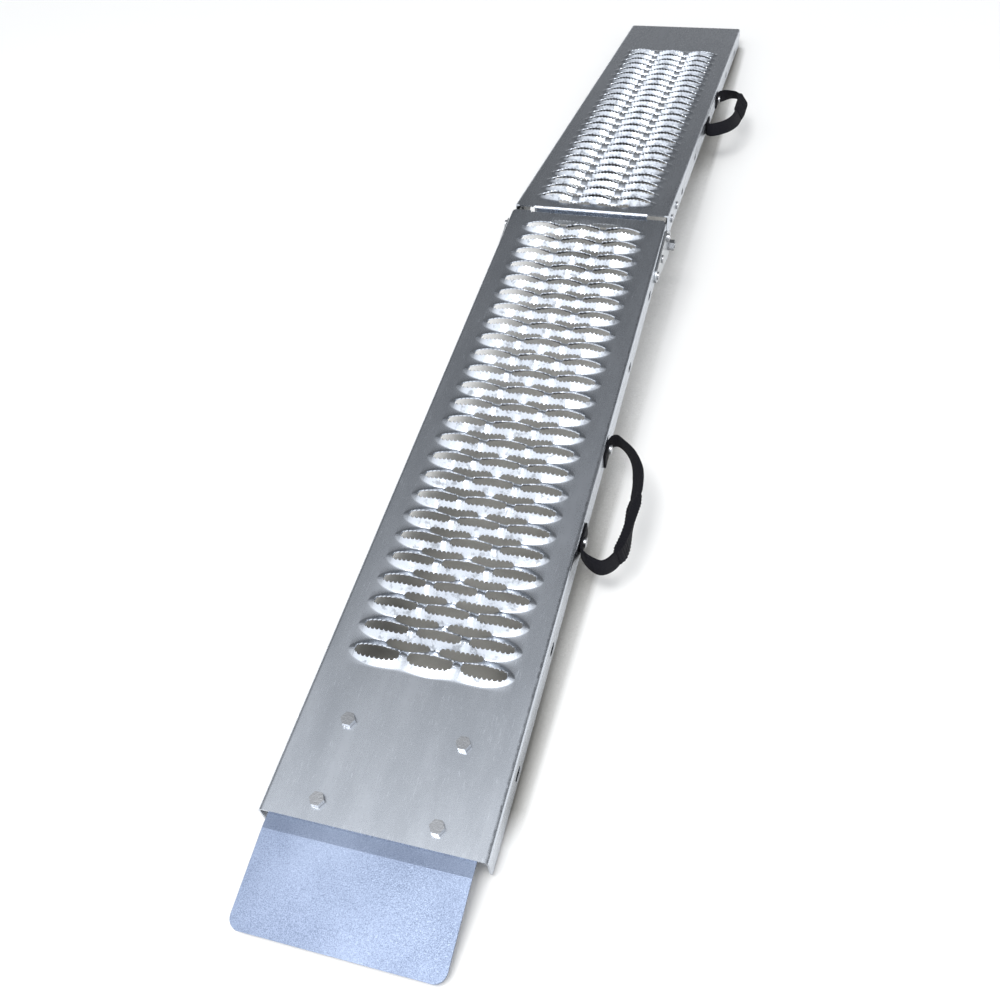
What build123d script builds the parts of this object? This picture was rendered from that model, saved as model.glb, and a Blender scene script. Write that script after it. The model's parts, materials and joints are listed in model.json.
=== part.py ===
from build123d import *
from math import cos, radians, sin
import os

# A folding loading ramp: two galvanised sheet-steel planks with pressed safety grating, a side hinge
# that folds them underside to underside, a bolted lip for the load bed and a webbing handle on each
# plank. Millimetres. The ramp stands on the floor as a low arch. +X is the handle side, +Y runs from
# the lip to the far end, +Z is up, and the origin is the middle of the bounding box's base.

os.makedirs("parts", exist_ok=True)

# Planks: one folded sheet each, measured outwards from the line where the two decks would meet
deck_width = 225
sheet = 2.0
bend_radius = 5.0
flange_depth = 36
return_width = 15
deck_start = 6.5
deck_end = 929
arch_angle = 12.2
outer_corner = 10
joint_corner = 15
deck_corner = 8
return_start = 102
return_end_gap = 12

# Turned-down lip on the joint end of each deck
end_lip_half = 82
end_lip_depth = 18
end_lip_bend = 4.0

# Grating: rows of three openings alternate with rows of two
row_pitch = 29.35
row_count = 25
first_pair_row = 29.0
opening_width = 6.7
triple_length = 47
triple_spacing = 57
pair_length = 46
ridge_half = 84
ridge_height = 6.2
ridge_thick = 2.0
ridge_gap = 0.2

# Slots in the side flanges
slot_length = 16
slot_height = 8
slot_drop = 20
slot_count = 6
first_slot = 142
slot_pitch = 138.5

# Lip plate, bolted under the outer end of the near deck
lip_width = 203
lip_thick = 3.0
lip_overlap = 125
lip_bend_at = 15
lip_reach = 104
lip_angle = 7
lip_corner = 12
lip_bolt_x = 58.9
lip_bolt_setbacks = (20, 103)

# Fasteners
m8_radius = 4.0
m8_flats = 13.0
m8_head = 5.3
m8_nut = 6.8
m6_radius = 3.0
m6_flats = 10.0
m6_nut = 5.0
button_radius = 6.0
button_height = 3.0
washer_thick = 1.5
washer_radius = 8.0
hole_gap = 0.4
fit_gap = 0.05
end_past_nut = 1.0

# Side hinge: the near plates lie outside the flanges, the far plates inside
pivot_drop = 42
plate_thick = 2.5
plate_gap = 0.3
boss_radius = 18
spacer_radius = 7.5
arm_radius = 10
near_arm = (98, -22)
near_shoulder = (24, -16)
near_rivets = ((62, -22), (98, -22))
far_arm = (88, -20)
far_rivets = ((38, -17), (84, -17))
rivet_radius = 3.0
rivet_head = 5.5
rivet_head_height = 2.0
stop_head_height = 4.0
stop_pin = (24, -14)
stop_pin_radius = 3.5
horn_top = -11
horn_bottom = -34

# Webbing handles
web_width = 25
web_thick = 2.5
tab_length = 40
tab_thick = 2.4
handle_reach = 52
handle_root = 12
handle_corner = 22
handle_overhang = 18
grip_length = 70
grip_thick = 6.0
grip_width = 30

half_width = deck_width / 2
flange_inside = half_width - sheet
tilt = arch_angle / 2
slope_sin = sin(radians(tilt))
slope_cos = cos(radians(tilt))

# The joint line's height puts the rounded outer corners of the flanges on the floor
joint_height = (
    (deck_end - outer_corner) * slope_sin
    + (flange_depth - outer_corner) * slope_cos
    + outer_corner
)
lip_tip = deck_end + lip_bend_at + (lip_reach - lip_bend_at) * cos(radians(lip_angle))
lip_tip_drop = sheet + (lip_reach - lip_bend_at) * sin(radians(lip_angle))
near_extent = lip_tip * slope_cos - lip_tip_drop * slope_sin
far_extent = deck_end * slope_cos
near_plate_outside = half_width + plate_gap + plate_thick
pivot_nut_outside = near_plate_outside + washer_thick + m8_nut
left_extent = pivot_nut_outside + end_past_nut
right_extent = half_width + handle_reach
centre_line = (left_extent - right_extent) / 2
joint_at = (near_extent - far_extent) / 2

# Each plank has its own frame on the joint line: local x across, local y outwards, local z off the deck
joint_point = (centre_line, joint_at, joint_height)
near = Plane(origin=joint_point, x_dir=(-1, 0, 0), z_dir=(0, -slope_sin, slope_cos))
far = Plane(origin=joint_point, x_dir=(1, 0, 0), z_dir=(0, slope_sin, slope_cos))
pivot = (pivot_drop * slope_sin, -pivot_drop * slope_cos)
sides = {"near": {"right": -1, "left": 1}, "far": {"right": 1, "left": -1}}
frames = {"near": near, "far": far}


def side_slab(frame, side, inner, outer):
    """Upright plane and depth of a slab between two distances from the centre line."""
    start = min(side * inner, side * outer)
    plane = Plane(frame.from_local_coords((start, 0, 0)), x_dir=frame.y_dir, z_dir=frame.x_dir)
    return plane, outer - inner


def cross_plane(frame, along):
    """Plane across a plank, facing the joint, at a distance from the joint line."""
    return Plane(frame.from_local_coords((0, along, 0)), x_dir=frame.x_dir, z_dir=-frame.y_dir)


def save(builder, label):
    builder.part.label = label
    export_step(builder.part, f"parts/{label}.step")


triple_rows = [first_pair_row + row_pitch * (row + 0.5) for row in range(row_count)]
pair_rows = [first_pair_row + row_pitch * row for row in range(row_count)]
triple_places = [(x, row) for row in triple_rows for x in (-triple_spacing, 0, triple_spacing)]
pair_places = [(x, row) for row in pair_rows for x in (-triple_spacing / 2, triple_spacing / 2)]
slot_places = [first_slot + slot_pitch * slot for slot in range(slot_count)]
handle_slots = (slot_places[2], slot_places[3])
lip_bolt_places = [
    (x, deck_end - setback) for x in (-lip_bolt_x, lip_bolt_x) for setback in lip_bolt_setbacks
]


def ridge_faces(planes, peak):
    """Shallow arches across the deck: high in the middle, nothing at the row's two tips."""
    root = -sheet / 2
    with BuildSketch(*planes) as arches:
        with BuildLine():
            ThreePointArc((-ridge_half, root), (0, peak), (ridge_half, root))
            Line((ridge_half, root), (-ridge_half, root))
        make_face()
    return arches.sketch


def ridge_planes(frame, rows):
    """Planes of the ridges along both edges of every opening row, each at its outer face."""
    offset = opening_width / 2 + ridge_gap
    starts = [row + offset + ridge_thick for row in rows] + [row - offset for row in rows]
    return [cross_plane(frame, start) for start in starts]


# Planks

def cut_corner(radius, corner, inwards):
    """Square corner less its round: what a rounded corner takes away."""
    with Locations((corner[0] + inwards[0] * radius / 2, corner[1] + inwards[1] * radius / 2)):
        Rectangle(radius, radius)
    with Locations((corner[0] + inwards[0] * radius, corner[1] + inwards[1] * radius)):
        Circle(radius, mode=Mode.SUBTRACT)


for name, frame in frames.items():
    with BuildPart() as plank:
        with BuildSketch(cross_plane(frame, deck_start)):
            with Locations((0, -flange_depth / 2)):
                RectangleRounded(deck_width, flange_depth, bend_radius)
                RectangleRounded(
                    deck_width - 2 * sheet,
                    flange_depth - 2 * sheet,
                    bend_radius - sheet,
                    mode=Mode.SUBTRACT,
                )
            with Locations((0, -flange_depth + sheet / 2)):
                Rectangle(deck_width - 2 * return_width, 2 * sheet, mode=Mode.SUBTRACT)
        extrude(amount=-(deck_end - deck_start))

        # The returns stop short of the joint and of the outer end
        returns_half = flange_inside
        with BuildSketch(frame.offset(-flange_depth)):
            for start, end in ((deck_start, return_start), (deck_end - return_end_gap, deck_end)):
                with Locations((0, (start + end) / 2)):
                    Rectangle(2 * returns_half, end - start)
        extrude(amount=bend_radius, mode=Mode.SUBTRACT)

        # Rounded lower corners of the flanges and rounded corners of the deck at the joint
        side_middle, side_depth = side_slab(frame, 1, -half_width, half_width)
        with BuildSketch(side_middle):
            cut_corner(joint_corner, (deck_start, -flange_depth), (1, 1))
            cut_corner(outer_corner, (deck_end, -flange_depth), (-1, 1))
        extrude(amount=side_depth, mode=Mode.SUBTRACT)
        with BuildSketch(frame):
            cut_corner(deck_corner, (half_width, deck_start), (-1, 1))
            cut_corner(deck_corner, (-half_width, deck_start), (1, 1))
        extrude(amount=-flange_depth, mode=Mode.SUBTRACT)

        # Turned-down lip along the joint end
        lip_inner = end_lip_bend - sheet
        with BuildSketch(frame.offset(sheet)):
            with Locations((0, deck_start)):
                Rectangle(2 * (end_lip_half + sheet), 2 * end_lip_bend)
        extrude(amount=-3 * sheet, mode=Mode.SUBTRACT)
        lip_plane, lip_length = side_slab(frame, 1, -end_lip_half, end_lip_half)
        with BuildSketch(lip_plane):
            with BuildLine():
                bend_centre = (deck_start + end_lip_bend, -end_lip_bend)
                Line((deck_start, -end_lip_depth), (deck_start, -end_lip_bend))
                CenterArc(bend_centre, end_lip_bend, 90, 90)
                Line((deck_start + end_lip_bend, 0), (deck_start + end_lip_bend, -sheet))
                CenterArc(bend_centre, lip_inner, 90, 90)
                Line((deck_start + sheet, -end_lip_bend), (deck_start + sheet, -end_lip_depth))
                Line((deck_start + sheet, -end_lip_depth), (deck_start, -end_lip_depth))
            make_face()
        extrude(amount=lip_length)

        # Ridges stand up along the triple rows and hang down along the pair rows
        extrude(ridge_faces(ridge_planes(frame, triple_rows), ridge_height), amount=ridge_thick)
        extrude(ridge_faces(ridge_planes(frame, pair_rows), -sheet - ridge_height), amount=ridge_thick)

        # Openings, cut from a little above the sheet to a little below
        with BuildSketch(frame.offset(sheet)):
            with Locations(*triple_places):
                SlotOverall(triple_length, opening_width)
            with Locations(*pair_places):
                SlotOverall(pair_length, opening_width)
            if name == "near":
                with Locations(*lip_bolt_places):
                    Circle(m8_radius + hole_gap)
        extrude(amount=-3 * sheet, mode=Mode.SUBTRACT)

        # Flange slots and the holes of the hinge rivets
        with BuildSketch(side_middle):
            with Locations(*[(along, -slot_drop) for along in slot_places]):
                SlotOverall(slot_length, slot_height)
            with Locations(*(near_rivets if name == "near" else far_rivets)):
                Circle(rivet_radius + fit_gap)
            if name == "near":
                with Locations(stop_pin):
                    Circle(stop_pin_radius + fit_gap)
        extrude(amount=side_depth, mode=Mode.SUBTRACT)
    save(plank, f"{name}_plank")


# Small turned and hexagonal pieces

def discs(plane, places, radius, bore=0):
    """Round faces on a plane, each with a bore when one is given."""
    with BuildSketch(plane) as faces:
        with Locations(*places):
            Circle(radius)
            if bore:
                Circle(bore, mode=Mode.SUBTRACT)
    return faces.sketch


def hexagons(plane, places, flats, bore=0):
    """Hexagonal faces on a plane, each with a bore when one is given."""
    with BuildSketch(plane) as faces:
        with Locations(*places):
            RegularPolygon(flats / 2, 6, major_radius=False)
            if bore:
                Circle(bore, mode=Mode.SUBTRACT)
    return faces.sketch


# Lip plate and its fasteners

lip_top = -sheet
bend_y = deck_end + lip_bend_at
lip_normal = (sin(radians(lip_angle)), cos(radians(lip_angle)))
with BuildPart() as lip_plate:
    plane, depth = side_slab(near, 1, -lip_width / 2, lip_width / 2)
    with BuildSketch(plane):
        with BuildLine():
            Polyline(
                (deck_end - lip_overlap, lip_top),
                (bend_y, lip_top),
                (lip_tip, -lip_tip_drop),
                (lip_tip - lip_thick * lip_normal[0], -lip_tip_drop - lip_thick * lip_normal[1]),
                (bend_y, lip_top - lip_thick),
                (deck_end - lip_overlap, lip_top - lip_thick),
                close=True,
            )
        make_face()
    extrude(amount=depth)
    with BuildSketch(near):
        cut_corner(lip_corner, (lip_width / 2, lip_tip), (-1, -1))
        cut_corner(lip_corner, (-lip_width / 2, lip_tip), (1, -1))
    extrude(amount=-flange_depth, mode=Mode.SUBTRACT)
    with BuildSketch(near):
        with Locations(*lip_bolt_places):
            Circle(m8_radius + hole_gap)
    extrude(amount=-flange_depth, mode=Mode.SUBTRACT)
save(lip_plate, "lip_plate")

lip_under = lip_top - lip_thick
nut_top = lip_under - washer_thick

with BuildPart() as lip_bolts:
    extrude(hexagons(near, lip_bolt_places, m8_flats), amount=m8_head)
    extrude(discs(near, lip_bolt_places, m8_radius), amount=nut_top - m8_nut - end_past_nut)
save(lip_bolts, "lip_bolts")

with BuildPart() as lip_washers:
    washer_faces = discs(near.offset(lip_under), lip_bolt_places, washer_radius, m8_radius + hole_gap)
    extrude(washer_faces, amount=-washer_thick)
save(lip_washers, "lip_washers")

with BuildPart() as lip_nuts:
    extrude(hexagons(near.offset(nut_top), lip_bolt_places, m8_flats, m8_radius + fit_gap), amount=-m8_nut)
save(lip_nuts, "lip_nuts")


# Side hinge

far_plate_inside = flange_inside - plate_gap - plate_thick
pin_in_far = (
    pivot[0]
    - (stop_pin[0] - pivot[0]) * cos(radians(arch_angle))
    - (stop_pin[1] - pivot[1]) * sin(radians(arch_angle)),
    pivot[1]
    - (stop_pin[0] - pivot[0]) * sin(radians(arch_angle))
    + (stop_pin[1] - pivot[1]) * cos(radians(arch_angle)),
)
horn_face = pin_in_far[0] + stop_pin_radius + fit_gap

for hand in ("right", "left"):
    near_side = sides["near"][hand]
    far_side = sides["far"][hand]

    with BuildPart() as near_hinge_plate:
        plane, depth = side_slab(near, near_side, half_width + plate_gap, near_plate_outside)
        with BuildSketch(plane):
            with Locations(pivot):
                Circle(boss_radius)
            with Locations(near_shoulder, near_arm):
                Circle(arm_radius)
            make_hull()
            with Locations(pivot):
                Circle(m8_radius + fit_gap, mode=Mode.SUBTRACT)
            with Locations(*near_rivets):
                Circle(rivet_radius + fit_gap, mode=Mode.SUBTRACT)
            with Locations(stop_pin):
                Circle(stop_pin_radius + fit_gap, mode=Mode.SUBTRACT)
        extrude(amount=depth)
    save(near_hinge_plate, f"near_hinge_plate_{hand}")

    with BuildPart() as far_hinge_plate:
        plane, depth = side_slab(far, far_side, far_plate_inside, flange_inside - plate_gap)
        with BuildSketch(plane):
            with Locations(pivot):
                Circle(boss_radius)
            with Locations(far_arm):
                Circle(arm_radius)
            make_hull()
            with Locations(((horn_face + far_arm[0]) / 2, (horn_top + horn_bottom) / 2)):
                Rectangle(far_arm[0] - horn_face, horn_top - horn_bottom)
            with Locations(pivot):
                Circle(m8_radius + fit_gap, mode=Mode.SUBTRACT)
            with Locations(*far_rivets):
                Circle(rivet_radius + fit_gap, mode=Mode.SUBTRACT)
        extrude(amount=depth)
    save(far_hinge_plate, f"far_hinge_plate_{hand}")

    # Rivets have a head at both ends: inner end, outer end and the shank between
    with BuildPart() as near_hinge_rivets:
        spans = (
            (flange_inside - rivet_head_height, flange_inside, rivet_head),
            (flange_inside, near_plate_outside, rivet_radius),
            (near_plate_outside, near_plate_outside + rivet_head_height, rivet_head),
        )
        for inner, outer, radius in spans:
            plane, depth = side_slab(near, near_side, inner, outer)
            extrude(discs(plane, near_rivets, radius), amount=depth)
    save(near_hinge_rivets, f"near_hinge_rivets_{hand}")

    with BuildPart() as far_hinge_rivets:
        spans = (
            (far_plate_inside - rivet_head_height, far_plate_inside, rivet_head),
            (far_plate_inside, half_width, rivet_radius),
            (half_width, half_width + rivet_head_height, rivet_head),
        )
        for inner, outer, radius in spans:
            plane, depth = side_slab(far, far_side, inner, outer)
            extrude(discs(plane, far_rivets, radius), amount=depth)
    save(far_hinge_rivets, f"far_hinge_rivets_{hand}")

    # The far plate's horn rests on this pin when the ramp is open
    with BuildPart() as pin:
        plane, depth = side_slab(near, near_side, far_plate_inside, near_plate_outside)
        extrude(discs(plane, [stop_pin], stop_pin_radius), amount=depth)
        pin_outside = near_plate_outside + stop_head_height
        plane, depth = side_slab(near, near_side, near_plate_outside, pin_outside)
        extrude(discs(plane, [stop_pin], rivet_head), amount=depth)
    save(pin, f"stop_pin_{hand}")

    with BuildPart() as pivot_bolt:
        head_face = far_plate_inside - plate_gap
        plane, depth = side_slab(near, near_side, head_face - m8_head, head_face)
        extrude(hexagons(plane, [pivot], m8_flats), amount=depth)
        plane, depth = side_slab(near, near_side, head_face, pivot_nut_outside + end_past_nut)
        extrude(discs(plane, [pivot], m8_radius), amount=depth)
    save(pivot_bolt, f"pivot_bolt_{hand}")

    with BuildPart() as pivot_spacer:
        plane, depth = side_slab(near, near_side, flange_inside, half_width + plate_gap)
        extrude(discs(plane, [pivot], spacer_radius, m8_radius + fit_gap), amount=depth)
    save(pivot_spacer, f"pivot_spacer_{hand}")

    with BuildPart() as pivot_washer:
        washer_outside = near_plate_outside + washer_thick
        plane, depth = side_slab(near, near_side, near_plate_outside, washer_outside)
        extrude(discs(plane, [pivot], washer_radius, m8_radius + fit_gap), amount=depth)
    save(pivot_washer, f"pivot_washer_{hand}")

    with BuildPart() as pivot_nut:
        plane, depth = side_slab(near, near_side, washer_outside, pivot_nut_outside)
        extrude(hexagons(plane, [pivot], m8_flats, m8_radius + fit_gap), amount=depth)
    save(pivot_nut, f"pivot_nut_{hand}")


# Webbing handles, on the right flange of each plank

for name, frame in frames.items():
    side = sides[name]["right"]
    first, second = handle_slots
    tab_outside = half_width + tab_thick

    for place, along in (("inner", first), ("outer", second)):
        with BuildPart() as tab:
            plane, depth = side_slab(frame, side, half_width, tab_outside)
            with BuildSketch(plane):
                with Locations((along, -slot_drop)):
                    RectangleRounded(tab_length, web_width, web_thick)
                    Circle(m6_radius + hole_gap, mode=Mode.SUBTRACT)
            extrude(amount=depth)
        save(tab, f"{name}_handle_tab_{place}")

    screw_places = [(along, -slot_drop) for along in handle_slots]
    nut_outside = flange_inside - washer_thick
    with BuildPart() as handle_screws:
        plane, depth = side_slab(frame, side, tab_outside, tab_outside + button_height)
        extrude(discs(plane, screw_places, button_radius), amount=depth)
        plane, depth = side_slab(frame, side, nut_outside - m6_nut - end_past_nut, tab_outside)
        extrude(discs(plane, screw_places, m6_radius), amount=depth)
    save(handle_screws, f"{name}_handle_screws")

    with BuildPart() as handle_washers:
        plane, depth = side_slab(frame, side, nut_outside, flange_inside)
        with BuildSketch(plane):
            with Locations(*screw_places):
                RectangleRounded(slot_length + 6, slot_height + 6, 3)
                Circle(m6_radius + fit_gap, mode=Mode.SUBTRACT)
        extrude(amount=depth)
    save(handle_washers, f"{name}_handle_washers")

    with BuildPart() as handle_nuts:
        plane, depth = side_slab(frame, side, nut_outside - m6_nut, nut_outside)
        extrude(hexagons(plane, screw_places, m6_flats, m6_radius + fit_gap), amount=depth)
    save(handle_nuts, f"{name}_handle_nuts")

    # The loop stands clear of the flange so that it can swing up and down
    loop_start = first - handle_overhang / 2
    loop_end = second + handle_overhang
    loop_outer = half_width + handle_reach
    root = half_width + handle_root
    grip_middle = (loop_start + loop_end) / 2
    with BuildPart() as handle_loop:
        with BuildSketch(frame.offset(-slot_drop - web_width / 2)):
            with Locations((side * loop_outer / 2, (loop_start + loop_end) / 2)):
                RectangleRounded(loop_outer, loop_end - loop_start, handle_corner)
                RectangleRounded(
                    loop_outer - 2 * web_thick,
                    loop_end - loop_start - 2 * web_thick,
                    handle_corner - web_thick,
                    mode=Mode.SUBTRACT,
                )
            with Locations((side * root / 2, (loop_start + loop_end) / 2)):
                Rectangle(root, loop_end - loop_start, mode=Mode.SUBTRACT)
        extrude(amount=web_width)
    save(handle_loop, f"{name}_handle_loop")

    with BuildPart() as handle_grip:
        with BuildSketch(frame.offset(-slot_drop - grip_width / 2)):
            with Locations((side * (loop_outer - web_thick - grip_thick / 2), grip_middle)):
                RectangleRounded(grip_thick, grip_length, web_thick)
        extrude(amount=grip_width)
    save(handle_grip, f"{name}_handle_grip")
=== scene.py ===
import json
import math

import bmesh
import bpy
import numpy as np
from mathutils import Matrix, Vector


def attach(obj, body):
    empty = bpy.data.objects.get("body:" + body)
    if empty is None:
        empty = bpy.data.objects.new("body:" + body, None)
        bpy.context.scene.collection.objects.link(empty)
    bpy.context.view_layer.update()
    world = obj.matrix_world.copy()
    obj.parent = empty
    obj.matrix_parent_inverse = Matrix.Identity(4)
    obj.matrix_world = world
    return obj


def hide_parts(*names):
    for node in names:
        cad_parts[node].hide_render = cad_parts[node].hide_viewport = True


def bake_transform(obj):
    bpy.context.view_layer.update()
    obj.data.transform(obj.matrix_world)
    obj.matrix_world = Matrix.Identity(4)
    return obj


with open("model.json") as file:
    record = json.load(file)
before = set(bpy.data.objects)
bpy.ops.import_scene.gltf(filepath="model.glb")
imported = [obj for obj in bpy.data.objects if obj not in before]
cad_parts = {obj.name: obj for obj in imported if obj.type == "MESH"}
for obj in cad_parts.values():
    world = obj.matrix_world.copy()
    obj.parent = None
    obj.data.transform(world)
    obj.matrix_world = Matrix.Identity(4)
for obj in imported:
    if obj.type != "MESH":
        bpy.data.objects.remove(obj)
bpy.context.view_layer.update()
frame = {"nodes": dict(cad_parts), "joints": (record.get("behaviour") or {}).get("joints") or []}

# A folding loading ramp: two galvanised grating planks with a side hinge, a bolted lip and webbing
# handles. Metres. Each plank has its own local frame, with its origin on the joint line above the
# fold axis: x across, y outwards along the deck, z up off the deck.

mm = 0.001

# Points closer than a weld become one, in the grating and in a piece from the CAD. Edges shorter
# than a speck are dropped, and a point this close to a cutting plane counts as on it
line_weld = 0.03 * mm
cad_weld = 0.005 * mm
speck = 0.01 * mm
on_plane = 1e-4 * mm

# Planks
pivot_drop = 42 * mm
tilt = math.radians(6.1)
half_width = 112.5 * mm
plank_crease = math.radians(32)
lowest_grating = -12 * mm

# Grating: rows of three openings alternate with rows of two. The strips between them are rolled so
# that a row of three lies between raised, arched edges and a row of two between sunken ones
row_pitch = 29.35 * mm
half_pitch = row_pitch / 2
row_count = 25
first_pair_row = 29 * mm
pressed_sheet = 1.3 * mm
run_out = 3 * mm

# Openings, and the narrow lands between the openings of one row
triple_spacing = 57 * mm
triple_half_length = 24.2 * mm
triple_half_width = 5.9 * mm
triple_centres = (-triple_spacing, 0.0, triple_spacing)
pair_half_length = 23.5 * mm
pair_half_width = 5.2 * mm
pair_centres = (-triple_spacing / 2, triple_spacing / 2)
edge_half_width = 8.0 * mm
lens_power = 2.5
straight_power = 6
land_least = 0.2 * mm
land_most = 1.5 * mm
land_growth = 0.5

# The pressed field narrows to a point at each side, like the corners of an eye
field_half = 90 * mm
eye_half = 88.7 * mm
eye_shoulder = 52 * mm
eye_power = 0.55
rise_power = 6

# Heights of the rolled strips above and below the deck
crest_height = 2.6 * mm
arch_height = 4.4 * mm
arch_power = 0.5
edge_arch_height = 1.4 * mm
trough_depth = 1.0 * mm
dip_depth = 2.3 * mm
dip_power = 0.7
trough_from, trough_to = 45 * mm, 54 * mm

# Shape of one strip, from its foot up to its crest
foot_swell = 1.6 * mm
foot_swell_reach = 30 * mm
foot_gap = 0.3 * mm
least_foot = 0.8 * mm
most_crest_share = 0.6
most_gap_share = 0.7
foot_bend, crest_bend = 0.14, 0.84
fold_round = 1.2 * mm
fold_steps = (-1, -0.6, -0.2, 0.2, 0.6, 1)
seam = 0.05 * mm

# A strip's lines, counted from its outer edge: the foot opening's edge and the crest opening's edge
foot_line = 2
crest_line = 5

# Teeth on the openings' edges
tooth_depth = 2.2 * mm
tooth_pitch = triple_spacing / 11
tooth_middle = 0.4
tooth_fade = 4 * mm
tooth_stations = (0, 0.2, 0.5, 0.8)
end_stations = (-0.9 * mm, 0, 0.12 * mm, 0.45 * mm, 1.0 * mm)
least_station_gap = 0.35 * mm
station_decimals = 6

# The slope from the first row of two up to the deck beside the joint
joint_slope_gap = 1.5 * mm
joint_slope_parts = (0, 0.15, 0.4, 0.7, 1)
joint_slope_start = -0.2


# Meshes

def add_object(name, data):
    obj = bpy.data.objects.new(name, data)
    bpy.context.scene.collection.objects.link(obj)
    return obj


def mesh_object(name, points, faces):
    mesh = bpy.data.meshes.new(name)
    mesh.from_pydata([tuple(point) for point in points], [], faces)
    mesh.validate()
    return add_object(name, mesh)


def apply_modifiers(obj):
    depsgraph = bpy.context.evaluated_depsgraph_get()
    mesh = bpy.data.meshes.new_from_object(obj.evaluated_get(depsgraph))
    old = obj.data
    obj.modifiers.clear()
    obj.data = mesh
    bpy.data.meshes.remove(old)


def smooth_outside_creases(mesh, crease):
    mesh.shade_smooth()
    mesh.set_sharp_from_angle(angle=crease)


def set_material(obj, material):
    obj.data.materials.clear()
    obj.data.materials.append(material)


def smooth(value, low, high):
    """0 up to low, 1 from high, and an easy slope between."""
    t = np.clip((value - low) / (high - low), 0, 1)
    return t * t * (3 - 2 * t)


def local_frame(outward):
    """Matrix of a plank's local frame; outward is -1 for the near plank and 1 for the far one."""
    fold = next(joint for joint in frame["joints"] if joint["name"] == "fold")
    origin = Vector(fold["pos_m"]) + Vector((0, 0, pivot_drop))
    x_dir = Vector((outward, 0, 0))
    z_dir = Vector((0, outward * math.sin(tilt), math.cos(tilt)))
    y_dir = z_dir.cross(x_dir)
    matrix = Matrix((x_dir, y_dir, z_dir)).transposed().to_4x4()
    matrix.translation = origin
    return matrix


# Grating field. x is the array of places across the field where its lines have their points

def stations():
    """Places across the field: each tooth's tip, flanks and hollow, and every opening's two ends."""
    ends = [-field_half, field_half, -eye_half, eye_half]
    spans = [(centre, triple_half_length) for centre in triple_centres]
    spans += [(centre, pair_half_length) for centre in pair_centres]
    for centre, half_length in spans:
        for side in (-1, 1):
            ends.extend(centre + side * (half_length - inset) for inset in end_stations)
    count = math.ceil(field_half / tooth_pitch)
    teeth = [(n + part) * tooth_pitch for n in range(-count, count) for part in tooth_stations]
    spare = [place for place in teeth if abs(place) < field_half
             and min(abs(place - end) for end in ends) > least_station_gap]
    return np.array(sorted(set(np.round(ends + spare, station_decimals))))


def opening_at(x, centres, half_length, widest, power=lens_power):
    """(is an opening there, its half width there) at each x; widest is the half width at its middle.

    Between openings the half width is the land's, which is small. The higher the power, the
    straighter the opening's long edges."""
    inside = np.zeros(len(x), bool)
    half = np.zeros_like(x)
    away = np.full_like(x, np.inf)
    for centre in centres:
        share = np.abs(x - centre) / half_length
        here = share < 1 + 1e-6
        inside |= here
        lens = widest * np.maximum(1 - share**power, 0) ** (1 / power)
        half = np.where(here, lens, half)
        away = np.minimum(away, np.abs(share - 1) * half_length)
    land = np.minimum(land_least + land_growth * away, land_most)
    return inside, np.where(inside, half, land)


def serration(x, centres, half_length):
    """How far an opening's edge stands in from its line: pointed teeth between round hollows."""
    teeth = np.zeros_like(x)
    along = x / tooth_pitch
    part = 2 * (along - np.floor(along)) - 1
    cusp = 1 - np.sqrt(np.maximum(1 - part**2, 0))
    for centre in centres:
        from_end = half_length - np.abs(x - centre)
        fade = np.clip(from_end / tooth_fade, 0, 1)
        teeth = np.where(from_end > 0, tooth_depth * (cusp - tooth_middle) * fade, teeth)
    return teeth


def waves(x):
    """(arch, dip) from 0 to 1: the sheet arches at each of three openings and dips at each of two."""
    wave = np.cos(2 * math.pi * x / triple_spacing)
    arch = np.where(np.abs(x) < 1.5 * triple_spacing, 0.5 + 0.5 * wave, 0) ** arch_power
    dip = np.where(np.abs(x) < triple_spacing, 0.5 - 0.5 * wave, 0) ** dip_power
    return arch, dip


def trough(x):
    """How deep the sheet lies under the deck along a row of two."""
    _, dip = waves(x)
    return (trough_depth + dip_depth * dip) * (1 - smooth(np.abs(x), trough_from, trough_to))


def eye(x):
    """(outline, rise) from 1 to 0: how the field's width and height run out towards its sides."""
    share = np.clip((np.abs(x) - eye_shoulder) / (eye_half - eye_shoulder), 0, 1)
    return np.maximum(1 - share**2, 0) ** eye_power, np.maximum(1 - share**rise_power, 0)


def strip_to_pair(x, joint_side):
    """(crest, crest height, foot, foot height) of a strip between a row of three and a row of two."""
    arch, dip = waves(x)
    outline, rise = eye(x)
    crest = triple_half_width * (outline if joint_side else arch)
    crest_z = (crest_height + arch_height * arch) * rise
    foot = np.where(np.abs(x) < eye_shoulder, half_pitch - pair_half_width * dip,
                    (half_pitch - foot_gap) * outline)
    return crest, crest_z, foot, -trough(x)


def strip_to_deck(x):
    """The same of the outermost strip, whose foot runs out into the flat deck."""
    arch, _ = waves(x)
    outline, rise = eye(x)
    crest = edge_half_width * arch
    crest_z = (crest_height + edge_arch_height * arch) * rise
    wave = 0.5 + 0.5 * np.cos(2 * math.pi * x / triple_spacing)
    foot = (half_pitch + foot_swell * wave * np.exp(-((x / foot_swell_reach) ** 2))) * outline
    return crest, crest_z, foot, np.zeros_like(x)


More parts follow.
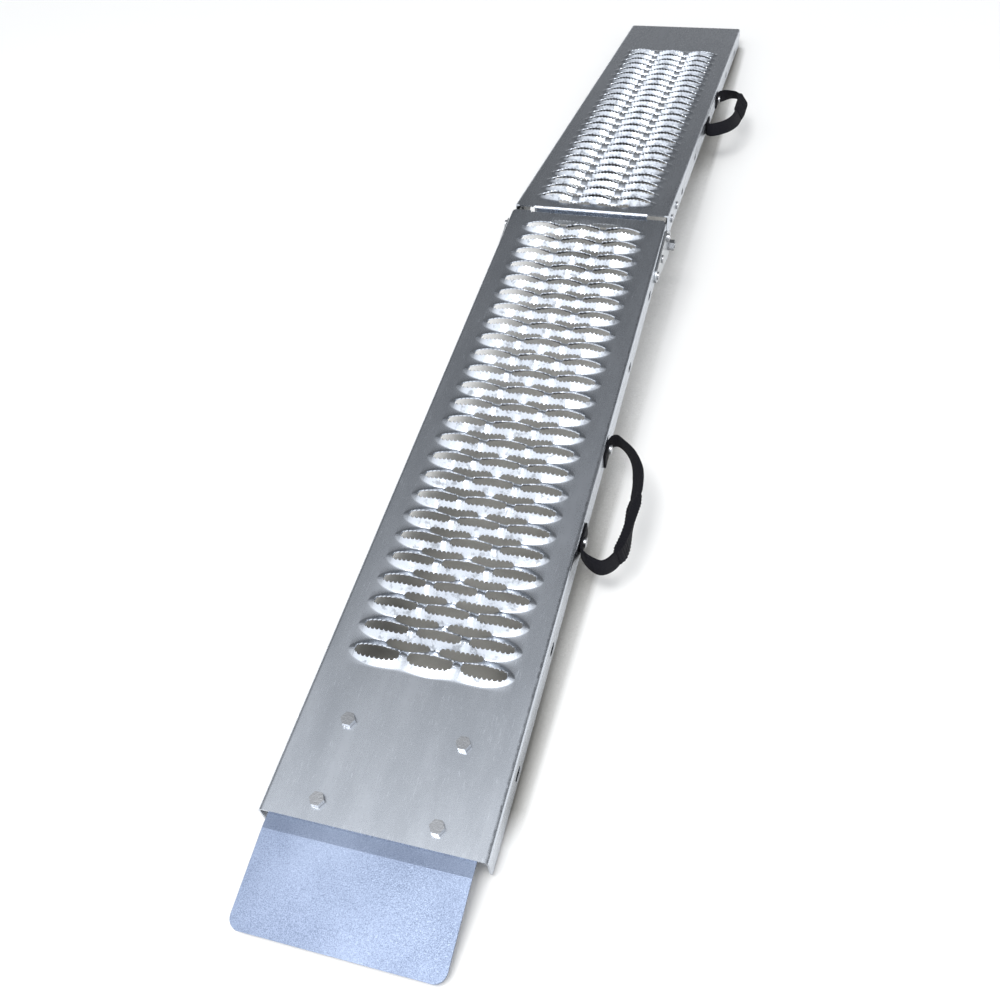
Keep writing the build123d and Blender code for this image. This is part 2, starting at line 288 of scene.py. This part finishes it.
def strip_lines(x, meets_deck, joint_side):
    """(distances, heights, is a row-of-three opening there, is a row-of-two opening there) of one
    strip's lines, from its outer edge to the middle of its row of three, where the distance is 0.

    The strip is a straight incline from its crest to its foot, both waved, and the openings' toothed
    edges are cut into it. The strip on the joint side of a row of three has straighter edges there."""
    power = straight_power if joint_side else lens_power
    triple_open, gap = opening_at(x, triple_centres, triple_half_length, triple_half_width, power)
    pair_open, pair_gap = opening_at(x, pair_centres, pair_half_length, pair_half_width)
    if meets_deck:
        crest, crest_z, foot, foot_z = strip_to_deck(x)
        gap = gap * np.where(triple_open, edge_half_width / triple_half_width, 1)
        pair_open = np.zeros_like(pair_open)
        low = foot
        edge = half_pitch + run_out
    else:
        crest, crest_z, foot, foot_z = strip_to_pair(x, joint_side)
        low = np.where(pair_open, half_pitch - pair_gap, foot)
        edge = half_pitch
    foot = np.maximum(foot, least_foot)
    low = np.maximum(low, least_foot)
    crest = np.minimum(crest, foot * most_crest_share)
    gap = np.minimum(gap, low * most_gap_share)

    def height(distance, rounding):
        total = np.zeros_like(distance)
        for step in fold_steps:
            share = np.clip((np.abs(distance + step * rounding) - crest) / (foot - crest), 0, 1)
            total += crest_z * (1 - share) + foot_z * share
        return total / len(fold_steps)

    round_low = np.where(pair_open, 0, fold_round)
    round_high = np.where(triple_open, 0, fold_round)
    lines = [
        (np.full_like(x, edge), round_low),
        (np.minimum(low + fold_round, edge - seam), round_low),
        (low, round_low),
        (low + (gap - low) * foot_bend, round_low),
        (low + (gap - low) * crest_bend, round_high),
        (gap, round_high),
        (np.zeros_like(x), round_high),
    ]
    distances = [distance for distance, _ in lines]
    heights = [height(distance, rounding) for distance, rounding in lines]
    teeth_low = np.where(pair_open, serration(x, pair_centres, pair_half_length), 0)
    teeth_high = np.where(triple_open, serration(x, triple_centres, triple_half_length), 0)
    slope = np.arctan2(crest_z - foot_z, foot - crest)
    for line, teeth in ((foot_line, teeth_low), (crest_line, -teeth_high)):
        distances[line] = distances[line] + teeth * np.cos(slope)
        heights[line] = heights[line] - teeth * np.sin(slope)
    return distances, heights, triple_open, pair_open


def joint_end_rows(x):
    """The lines of the slope between the first row of two and the flat deck beside the joint."""
    pair_open, gap = opening_at(x, pair_centres, pair_half_length, pair_half_width)
    teeth = np.where(pair_open, serration(x, pair_centres, pair_half_length), 0)
    depth = trough(x)
    level = np.where(pair_open, gap / pair_half_width, 0)
    reach = half_pitch - joint_slope_gap
    rows = [(np.full_like(x, first_pair_row), -depth)]
    for part in joint_slope_parts:
        distance = gap + (reach - gap) * part
        if part == 0:
            distance = distance - teeth
        sunk = depth * (1 - smooth(part, joint_slope_start, 1)) * (1 - level)
        rows.append((first_pair_row - distance, -sunk))
    rows.append((np.full_like(x, first_pair_row - half_pitch), np.zeros_like(x)))
    return rows, pair_open


def add_quads(points, faces, x, rows, skip, flip):
    """Adds a grid of quads through the rows of (y, z) lines, leaving out those that skip names."""
    start = len(points)
    for y, z in rows:
        points.extend(zip(x, y, z))
    for row in range(len(rows) - 1):
        for column in range(len(x) - 1):
            if skip(row, column):
                continue
            a = start + row * len(x) + column
            corners = (a, a + 1, a + 1 + len(x), a + len(x))
            faces.append(corners[::-1] if flip else corners)


def field_mesh():
    """Vertices and quads of the grating's upper surface, in the plank's local frame."""
    x = stations()
    points, faces = [], []
    for row in range(row_count):
        middle = first_pair_row + row_pitch * (row + 0.5)
        for direction in (-1, 1):
            meets_deck = row == row_count - 1 and direction > 0
            distances, heights, triple_open, pair_open = strip_lines(x, meets_deck, direction < 0)

            def in_opening(line, column):
                in_triple = triple_open[column] and triple_open[column + 1]
                in_pair = pair_open[column] and pair_open[column + 1]
                return (line == crest_line and in_triple) or (line < foot_line and in_pair)

            rows = [(middle + direction * d, z) for d, z in zip(distances, heights)]
            add_quads(points, faces, x, rows, in_opening, direction > 0)
    rows, first_pair_open = joint_end_rows(x)

    def in_first_pair(line, column):
        return line == 0 and first_pair_open[column] and first_pair_open[column + 1]

    add_quads(points, faces, x, rows, in_first_pair, True)
    return points, faces


def grating_field():
    """The whole field as a sheet with its thickness, in local coordinates."""
    points, faces = field_mesh()
    obj = mesh_object("field", points, faces)
    bm = bmesh.new()
    bm.from_mesh(obj.data)
    bmesh.ops.remove_doubles(bm, verts=bm.verts, dist=line_weld)
    bmesh.ops.dissolve_degenerate(bm, edges=bm.edges, dist=speck)
    bmesh.ops.recalc_face_normals(bm, faces=bm.faces)
    flattest = max(bm.faces, key=lambda face: abs(face.normal.z))
    if flattest.normal.z < 0:
        bmesh.ops.reverse_faces(bm, faces=bm.faces)
    bm.to_mesh(obj.data)
    bm.free()
    thick = obj.modifiers.new("thickness", "SOLIDIFY")
    thick.thickness = pressed_sheet
    thick.offset = -1
    thick.use_even_offset = False
    apply_modifiers(obj)
    return obj


def plank_sheet(name, matrix):
    """The folded sheet with its grating: the CAD sheet outside the field, the pressed field inside."""
    start = first_pair_row - half_pitch
    end = first_pair_row + row_pitch * row_count + run_out
    bm = bmesh.new()
    bm.from_mesh(frame["nodes"][f"{name}_plank"].data)
    bmesh.ops.transform(bm, matrix=matrix.inverted(), verts=bm.verts)
    cuts = [
        ((-field_half, 0, 0), (1, 0, 0)),
        ((field_half, 0, 0), (1, 0, 0)),
        ((0, start, 0), (0, 1, 0)),
        ((0, end, 0), (0, 1, 0)),
    ]
    for place, normal in cuts:
        geometry = bm.verts[:] + bm.edges[:] + bm.faces[:]
        bmesh.ops.bisect_plane(bm, geom=geometry, dist=on_plane, plane_co=place, plane_no=normal)
    inside = []
    for face in bm.faces:
        centre = face.calc_center_median()
        if abs(centre.x) < field_half and start < centre.y < end and centre.z > lowest_grating:
            inside.append(face)
    bmesh.ops.delete(bm, geom=inside, context="FACES")
    field = grating_field()
    bm.from_mesh(field.data)
    bpy.data.objects.remove(field)
    bmesh.ops.transform(bm, matrix=matrix, verts=bm.verts)
    mesh = bpy.data.meshes.new(f"{name}_plank_sheet")
    bm.to_mesh(mesh)
    bm.free()
    obj = add_object(f"{name}_plank_sheet", mesh)
    smooth_outside_creases(mesh, plank_crease)
    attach(obj, f"{name}_section")
    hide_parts(f"{name}_plank")
    return obj


# Webbing handles

web_width = 21 * mm
web_thick = 2.4 * mm
web_drop = 20 * mm
web_crease = math.radians(50)
strap_parts = 10

# The grip sleeve over the strap's outer run: ribbed, and thinner at its two ends
grip_width = 21.5 * mm
grip_thick = 10.5 * mm
grip_from, grip_to = 482 * mm, 572 * mm
grip_off_flange = 24 * mm
grip_rib = 4.6 * mm
grip_rib_share = 0.2
grip_end_share = 0.45
grip_parts = 4
taper_steps = 12

# The strap's line in millimetres: how far it stands off the flange, and how far along the plank.
# Its two tails lie on the flange towards each other, and the loop sags a little towards the lip.
strap_line = [
    (1.3, 440), (1.3, 426), (1.5, 412), (6, 405), (14, 406.5), (31, 424), (42, 449), (46, 478),
    (46.5, 520), (46, 554), (40, 576), (28.5, 587), (14, 582.5), (4.5, 574), (1.5, 566), (1.3, 554),
    (1.3, 538),
]

# How far the strap's upper edge leans in towards the loop's middle, as (millimetres along the plank,
# degrees): the near strap is twisted under its grip, the far one leans in all the way round. The
# lean starts off the flange, between these two distances from it.
strap_lean = {
    "near": [(405, 10), (424, -10), (449, -34), (478, -38), (520, -12), (554, 12), (576, 18), (587, 15)],
    "far": [(405, 35), (587, 35)],
}
lean_from, lean_to = 4 * mm, 26 * mm


def spline(points, parts):
    """A smooth line through the points, each run cut into parts."""
    line = []
    for i in range(len(points) - 1):
        before = points[max(i - 1, 0)]
        start, end = points[i], points[i + 1]
        after = points[min(i + 2, len(points) - 1)]
        for part in range(parts):
            t = part / parts
            line.append(0.5 * (2 * start + (end - before) * t
                               + (2 * before - 5 * start + 4 * end - after) * t**2
                               + (3 * start - before - 3 * end + after) * t**3))
    line.append(points[-1])
    return line


def band_section(width, thick):
    """A flat band's outline, (across, through), with rounded edges."""
    half = [(-0.5, 0), (-0.48, 0.35), (-0.44, 0.5), (-0.2, 0.5), (0.2, 0.5), (0.44, 0.5), (0.48, 0.35)]
    outline = half + [(-across, -through) for across, through in half]
    return [(across * width, through * thick) for across, through in outline]


def grip_swell(index, count, length):
    """The sleeve's thickness as a share of its most: even ridges, and a taper at both ends."""
    ridge = 1 - grip_rib_share * (1 - abs(math.sin(math.pi * length / grip_rib)))
    from_end = min(index, count - 1 - index) / taper_steps
    return ridge * min(grip_end_share + (1 - grip_end_share) * from_end, 1)


def swept_band(name, matrix, outward, line, lean_line, width, thick, ribbed=False):
    """A leaning band swept along the line, at the handle's height on the plank's flange."""
    places, leans = zip(*lean_line)
    points, faces, strap_uv = [], [], []
    length = 0.0
    for i, place in enumerate(line):
        ahead = line[min(i + 1, len(line) - 1)]
        behind = line[max(i - 1, 0)]
        along = (ahead - behind).normalized()
        inward = Vector((-along.y, along.x, 0))
        lean = math.radians(float(np.interp(place.y / mm, places, leans)))
        lean *= float(smooth(place.x, lean_from, lean_to))
        across = Vector((0, 0, math.cos(lean))) + inward * math.sin(lean)
        through = across.cross(along)
        swell = grip_swell(i, len(line), length) if ribbed else 1.0
        for over, deep in band_section(width, thick * swell):
            spot = place + across * over + through * deep
            points.append(matrix @ Vector((outward * (half_width + spot.x), spot.y, spot.z - web_drop)))
            strap_uv.append((length, over + deep))
        length += (ahead - place).length
    count = len(points) // len(line)
    for i in range(len(line) - 1):
        for j in range(count):
            k = (j + 1) % count
            faces.append((i * count + j, i * count + k, (i + 1) * count + k, (i + 1) * count + j))
    faces.append(tuple(range(count)))
    faces.append(tuple(range(len(points) - count, len(points))))
    obj = mesh_object(name, points, faces)
    uv = obj.data.uv_layers.new(name="strap")
    for loop in obj.data.loops:
        uv.data[loop.index].uv = strap_uv[loop.vertex_index]
    bm = bmesh.new()
    bm.from_mesh(obj.data)
    bmesh.ops.recalc_face_normals(bm, faces=bm.faces)
    bm.to_mesh(obj.data)
    bm.free()
    smooth_outside_creases(obj.data, web_crease)
    return obj


def handle(name, matrix, outward, material):
    """One continuous strap, screwed on at its two tails, with a ribbed grip sleeve on its outer run."""
    line = spline([Vector((reach * mm, along * mm, 0)) for reach, along in strap_line], strap_parts)
    lean_line = strap_lean[name]
    strap = swept_band(f"{name}_handle_strap", matrix, outward, line, lean_line, web_width, web_thick)
    set_material(strap, material)
    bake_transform(strap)
    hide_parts(f"{name}_handle_loop", f"{name}_handle_tab_inner", f"{name}_handle_tab_outer")
    held = [place for place in line if grip_from < place.y < grip_to and place.x > grip_off_flange]
    sleeve = swept_band(f"{name}_handle_sleeve", matrix, outward, spline(held, grip_parts), lean_line,
                        grip_width, grip_thick, ribbed=True)
    set_material(sleeve, material)
    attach(sleeve, f"{name}_handle")
    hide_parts(f"{name}_handle_grip")


# Lip bolts

head_chamfer = 0.9 * mm
chamfer_angle = math.radians(35)
head_crease = math.radians(10)


def chamfered_bolts(material):
    """The lip's bolts with the hard edges of their heads and shanks broken, as forged steel has."""
    bm = bmesh.new()
    bm.from_mesh(frame["nodes"]["lip_bolts"].data)
    bmesh.ops.remove_doubles(bm, verts=bm.verts, dist=cad_weld)
    mesh = bpy.data.meshes.new("lip_bolts_bevelled")
    bm.to_mesh(mesh)
    bm.free()
    obj = add_object("lip_bolts_bevelled", mesh)
    edge = obj.modifiers.new("edge", "BEVEL")
    edge.width = head_chamfer
    edge.segments = 1
    edge.limit_method = "ANGLE"
    edge.angle_limit = chamfer_angle
    apply_modifiers(obj)
    smooth_outside_creases(obj.data, head_crease)
    set_material(obj, material)
    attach(obj, "near_section")
    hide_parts("lip_bolts")


# Material nodes

def fill(tree, made, inputs):
    """Gives each named input of a node a plain value or another node's output."""
    for key, value in inputs.items():
        if isinstance(value, bpy.types.NodeSocket):
            tree.links.new(value, made.inputs[key])
        else:
            made.inputs[key].default_value = value


def node(tree, kind, inputs, **settings):
    """A new node of the kind, with its settings made and its inputs filled."""
    made = tree.nodes.new(kind)
    for key, value in settings.items():
        setattr(made, key, value)
    fill(tree, made, inputs)
    return made


def new_material(name):
    """(material, its node tree, its Principled shader)"""
    material = bpy.data.materials.new(name)
    material.use_nodes = True
    tree = material.node_tree
    tree.nodes.clear()
    shader = node(tree, "ShaderNodeBsdfPrincipled", {})
    node(tree, "ShaderNodeOutputMaterial", {"Surface": shader.outputs["BSDF"]})
    return material, tree, shader


def coordinates(tree, scale=(1, 1, 1)):
    place = node(tree, "ShaderNodeTexCoord", {})
    return node(tree, "ShaderNodeMapping", {"Vector": place.outputs["Object"], "Scale": scale}).outputs[0]


def axis(tree, coordinate, letter):
    """One axis of a texture coordinate, such as Z of the object's own normal."""
    place = node(tree, "ShaderNodeTexCoord", {})
    return node(tree, "ShaderNodeSeparateXYZ", {"Vector": place.outputs[coordinate]}).outputs[letter]


def noise(tree, vector, scale, detail=2.0, roughness=0.5):
    inputs = {"Vector": vector, "Scale": scale, "Detail": detail, "Roughness": roughness}
    return node(tree, "ShaderNodeTexNoise", inputs).outputs["Fac"]


def wave_bands(tree, vector, scale, direction, distortion=0.0):
    inputs = {"Vector": vector, "Scale": scale, "Distortion": distortion}
    made = node(tree, "ShaderNodeTexWave", inputs, wave_type="BANDS", bands_direction=direction)
    return made.outputs["Fac"]


def ranged(tree, value, low, high, to_low=0, to_high=1):
    """The value's run from low to high drawn out over to_low to to_high, and held beyond it."""
    inputs = {"Value": value, "From Min": low, "From Max": high, "To Min": to_low, "To Max": to_high}
    return node(tree, "ShaderNodeMapRange", inputs).outputs["Result"]


def maths(tree, operation, first, *others):
    """The operation on one value, or carried on through several from left to right."""
    if not others:
        return node(tree, "ShaderNodeMath", {0: first}, operation=operation).outputs["Value"]
    for other in others:
        first = node(tree, "ShaderNodeMath", {0: first, 1: other}, operation=operation).outputs["Value"]
    return first


def weighted(tree, *parts):
    """The sum of (value, weight) parts."""
    return maths(tree, "ADD", *[maths(tree, "MULTIPLY", value, weight) for value, weight in parts])


def mixed(tree, factor, a, b, blend="MIX"):
    inputs = {0: factor, 6: a, 7: b}
    return node(tree, "ShaderNodeMix", inputs, data_type="RGBA", blend_type=blend).outputs[2]


def ambient_openness(tree, reach, samples):
    """1 where a surface lies free, less where another one stands closer than reach."""
    return node(tree, "ShaderNodeAmbientOcclusion", {"Distance": reach}, samples=samples).outputs["AO"]


def bumped(tree, shader, heights):
    """Stacks height signals, each (value, strength, distance), into the shader's normal."""
    normal = {}
    for value, strength, distance in heights:
        inputs = {"Height": value, "Strength": strength, "Distance": distance, **normal}
        normal = {"Normal": node(tree, "ShaderNodeBump", inputs).outputs["Normal"]}
    fill(tree, shader, normal)


# Materials

def galvanised_material(name, dark, light, roughness, underside_shade):
    """Zinc-dipped sheet: soft spangle, smears, fine scratches along the sheet and gentle waves.

    Faces turned down get painted shade: the last argument is their share of the upper side's tone.
    The grating's pressed strips are the faces that slope within the field, and they are stained and dented."""
    material, tree, shader = new_material(name)
    place = coordinates(tree)
    upward = axis(tree, "Normal", "Z")
    spangle = node(tree, "ShaderNodeTexVoronoi", {"Vector": place, "Scale": 110}, feature="F1")
    smear = noise(tree, coordinates(tree, scale=(30, 6, 30)), 1, detail=4, roughness=0.6)
    cloud = noise(tree, place, 9, detail=3, roughness=0.55)
    grain = noise(tree, place, 900, roughness=0.6)
    scratch = noise(tree, coordinates(tree, scale=(900, 14, 900)), 1)
    tone = weighted(tree, (ranged(tree, smear, 0.3, 0.7), 0.45), (ranged(tree, cloud, 0.3, 0.7), 0.4),
                    (spangle.outputs["Color"], 0.15))
    across = maths(tree, "ABSOLUTE", axis(tree, "Object", "X"))
    pressed = maths(tree, "MULTIPLY", ranged(tree, upward, 0.3, 0.5), ranged(tree, upward, 0.9, 0.97, 1, 0),
                    ranged(tree, across, field_half, field_half + 1 * mm, 1, 0))
    stain = ranged(tree, noise(tree, place, 120, detail=4, roughness=0.6), 0.37, 0.47, 0.4, 0)
    clean = maths(tree, "SUBTRACT", 1.0, maths(tree, "MULTIPLY", pressed, stain))
    colour = mixed(tree, tone, dark, light)
    # Painted shade on faces turned down, then the stains on the pressed strips, both multiply the colour
    for shade in (ranged(tree, upward, -0.35, -0.1, underside_shade, 1), clean):
        colour = mixed(tree, 1.0, colour, shade, "MULTIPLY")
    rough = maths(tree, "ADD", ranged(tree, smear, 0.3, 0.75, *roughness),
                  ranged(tree, grain, 0.3, 0.7, -0.03, 0.03), ranged(tree, scratch, 0.62, 0.75, 0, 0.12))
    fill(tree, shader, {"Base Color": colour, "Metallic": 1.0, "Roughness": rough})
    bumped(tree, shader, [
        (noise(tree, place, 14), 0.2, 0.8 * mm),
        (noise(tree, place, 90), maths(tree, "MULTIPLY", pressed, 0.45), 2 * mm),
        (grain, 0.12, 0.2 * mm),
        (scratch, 0.10, 0.2 * mm),
    ])
    return material


def zinc_material(name, dark, light, grain_scale, roughness):
    """Plated or sprayed zinc with a visible sparkle grain, and painted shade darkening its tight corners.
    """
    material, tree, shader = new_material(name)
    place = coordinates(tree)
    grain = noise(tree, place, grain_scale, detail=3, roughness=0.7)
    cloud = noise(tree, place, 16, detail=3)
    tone = weighted(tree, (ranged(tree, grain, 0.35, 0.65), 0.6), (ranged(tree, cloud, 0.3, 0.7), 0.4))
    # Painted shade: the colour darkens where another surface stands within 3 mm
    corner_shade = ranged(tree, ambient_openness(tree, 3 * mm, 8), 0.25, 0.85, 0.3, 1)
    smoothest, roughest = roughness
    fill(tree, shader, {
        "Base Color": mixed(tree, 1.0, mixed(tree, tone, dark, light), corner_shade, "MULTIPLY"),
        "Metallic": 1.0,
        "Roughness": ranged(tree, grain, 0.3, 0.7, roughest, smoothest),
    })
    bumped(tree, shader, [(grain, 0.5, 0.3 * mm), (cloud, 0.2, 0.8 * mm)])
    return material


def webbing_material(name, dark, light):
    """Woven nylon strap: ribs along it, a fine twill across, matt with a slight sheen."""
    material, tree, shader = new_material(name)
    uv = node(tree, "ShaderNodeUVMap", {}, uv_map="strap").outputs["UV"]
    ribs = wave_bands(tree, uv, 260, "X", distortion=1.5)
    twill = wave_bands(tree, uv, 340, "DIAGONAL")
    fuzz = noise(tree, coordinates(tree), 1500, detail=3, roughness=0.6)
    weave = maths(tree, "MULTIPLY", ribs, twill)
    fill(tree, shader, {
        "Base Color": mixed(tree, weighted(tree, (weave, 0.7), (fuzz, 0.3)), dark, light),
        "Roughness": ranged(tree, weave, 0, 1, 0.75, 0.5),
        "Specular IOR Level": 0.15,
        "Sheen Weight": 0.02,
        "Sheen Roughness": 0.4,
    })
    bumped(tree, shader, [(weave, 0.8, 0.5 * mm), (fuzz, 0.3, 0.3 * mm)])
    return material


# Painted shade on the floor under the ramp, from the lip bolts to the far end. On the left the painted
# shade reaches past the plank, most at the joint, where the ramp stands highest
painted_shade_left = half_width + 52 * mm
painted_shade_narrowing = 0.05
painted_shade_start = -840 * mm


def floor_material():
    """Pale floor, with painted shade under the ramp, where little of the room's light would reach it."""
    material, tree, shader = new_material("pale_floor")
    x = axis(tree, "Object", "X")
    y = axis(tree, "Object", "Y")
    cloud = noise(tree, coordinates(tree), 2.2, detail=3)
    pale = mixed(tree, cloud, (0.92, 0.915, 0.90, 1), (0.95, 0.945, 0.93, 1))
    from_joint = maths(tree, "ABSOLUTE", y)
    painted_shade_reach = maths(tree, "ADD", maths(tree, "MULTIPLY", from_joint, -painted_shade_narrowing), painted_shade_left)
    left = ranged(tree, maths(tree, "ADD", x, painted_shade_reach), -12 * mm, 3 * mm)
    right = ranged(tree, x, half_width - 8 * mm, half_width, 1, 0)
    lip_end = ranged(tree, y, painted_shade_start, painted_shade_start + 40 * mm)
    # Painted shade: greyest where the ramp closes in over the floor, and only inside the masks above
    closed_in = ranged(tree, ambient_openness(tree, 200 * mm, 16), 0.5, 0.8, 1, 0)
    shade = maths(tree, "MULTIPLY", left, right, lip_end, closed_in)
    # The olive grey here is the painted shade's colour
    fill(tree, shader, {"Base Color": mixed(tree, shade, pale, (0.33, 0.32, 0.293, 1)), "Roughness": 0.8})
    return material


# Pieces

galvanised = galvanised_material(
    "galvanised_sheet", dark=(0.54, 0.575, 0.63, 1), light=(0.62, 0.655, 0.71, 1),
    roughness=(0.24, 0.32), underside_shade=0.14)
hinge_zinc = galvanised_material(
    "hinge_zinc", dark=(0.46, 0.48, 0.50, 1), light=(0.60, 0.62, 0.64, 1),
    roughness=(0.25, 0.4), underside_shade=0.5)
lip_zinc = zinc_material(
    "lip_zinc", dark=(0.145, 0.18, 0.26, 1), light=(0.29, 0.345, 0.46, 1),
    grain_scale=1000, roughness=(0.38, 0.6))
bright_zinc = zinc_material(
    "bright_zinc", dark=(0.34, 0.35, 0.37, 1), light=(0.56, 0.57, 0.59, 1),
    grain_scale=500, roughness=(0.2, 0.38))
webbing = webbing_material(
    "webbing", dark=(0.004, 0.004, 0.006, 1), light=(0.0096, 0.0096, 0.0144, 1))

for name, outward in (("near", -1), ("far", 1)):
    matrix = local_frame(outward)
    set_material(plank_sheet(name, matrix), galvanised)
    handle(name, matrix, outward, webbing)

chamfered_bolts(bright_zinc)

# The other pieces keep their CAD shape
new_shapes = ("plank", "handle_loop", "handle_grip", "handle_tab", "lip_bolts")
for name, obj in frame["nodes"].items():
    if any(shape in name for shape in new_shapes):
        continue
    if name == "lip_plate":
        set_material(obj, lip_zinc)
    elif "hinge_plate" in name:
        set_material(obj, hinge_zinc)
    else:
        set_material(obj, bright_zinc)


# Floor, light and camera

floor_half_side = 15.0
backdrop_strength = 1.5
light_tint = (0.95, 0.97, 1)

# The room's brightness by direction: low where a ray runs along the ramp away from the camera, high
# where it runs up and back. A direction's place is 0.6 of its rise less its run along the ramp.
room_rise_share = 0.6
room_reach = 1.2
room_brightness = [(-1.0, 0.42), (-0.78, 0.16), (-0.34, 0.12), (0.16, 0.36), (0.42, 0.86), (0.6, 1.62),
                   (1.0, 1.48)]


def add_floor():
    turns = ((-1, -1), (1, -1), (1, 1), (-1, 1))
    corners = [(x * floor_half_side, y * floor_half_side, 0) for x, y in turns]
    obj = mesh_object("floor", corners, [(0, 1, 2, 3)])
    set_material(obj, floor_material())


def aimed(obj, place, aim):
    obj.location = place
    obj.rotation_mode = "QUATERNION"
    obj.rotation_quaternion = (Vector(aim) - Vector(place)).to_track_quat("-Z", "Y")


def add_key_light(place, aim, size, power):
    lamp = bpy.data.lights.new("key", "AREA")
    lamp.shape = "RECTANGLE"
    lamp.size, lamp.size_y = size
    lamp.energy = power
    aimed(add_object("key", lamp), place, aim)


def room_ramp(tree, direction):
    """The room's brightness as a share of its brightest, tinted, along the direction's value."""
    ramp = node(tree, "ShaderNodeValToRGB", {"Fac": ranged(tree, direction, -room_reach, room_reach)})
    ramp.color_ramp.interpolation = "B_SPLINE"
    brightest = max(brightness for _, brightness in room_brightness)
    elements = ramp.color_ramp.elements
    while len(elements) < len(room_brightness):
        elements.new(0.5)
    for element, (value, brightness) in zip(elements, room_brightness):
        element.position = (value + room_reach) / (2 * room_reach)
        share = brightness / brightest
        element.color = (*[share * tint for tint in light_tint], 1)
    return ramp.outputs["Color"], brightest


def studio_world():
    """Bright behind and above the camera, dim in front of it, so that the decks keep their contrast."""
    world = bpy.data.worlds.new("studio")
    world.use_nodes = True
    bpy.context.scene.world = world
    tree = world.node_tree
    tree.nodes.clear()
    rise = maths(tree, "MULTIPLY", axis(tree, "Generated", "Z"), room_rise_share)
    direction = maths(tree, "SUBTRACT", rise, axis(tree, "Generated", "Y"))
    colour, brightest = room_ramp(tree, direction)
    lit = node(tree, "ShaderNodeBackground", {"Color": colour, "Strength": brightest})
    white = {"Color": (1, 1, 1, 1), "Strength": backdrop_strength}
    seen = node(tree, "ShaderNodeBackground", white)
    path = node(tree, "ShaderNodeLightPath", {})
    pick = node(tree, "ShaderNodeMixShader", {
        0: path.outputs["Is Camera Ray"],
        1: lit.outputs["Background"],
        2: seen.outputs["Background"],
    })
    node(tree, "ShaderNodeOutputWorld", {"Surface": pick.outputs["Shader"]})


def add_camera(place, look, right, lens):
    data = bpy.data.cameras.new("camera")
    data.lens = lens
    camera = add_object("camera", data)
    matrix = Matrix((right, right.cross(look), -look)).transposed().to_4x4()
    matrix.translation = place
    camera.matrix_world = matrix
    bpy.context.scene.camera = camera


add_floor()
studio_world()
add_key_light(place=(-0.3, -1.9, 3.2), aim=(0, -0.1, 0), size=(1.4, 1.0), power=60)
bpy.context.scene.view_settings.view_transform = "Standard"
add_camera(place=Vector((0.27635, -1.2488, 0.9012)), look=Vector((-0.2429, 0.6624, -0.7087)),
           right=Vector((0.95914, 0.27326, -0.07332)), lens=37.27)
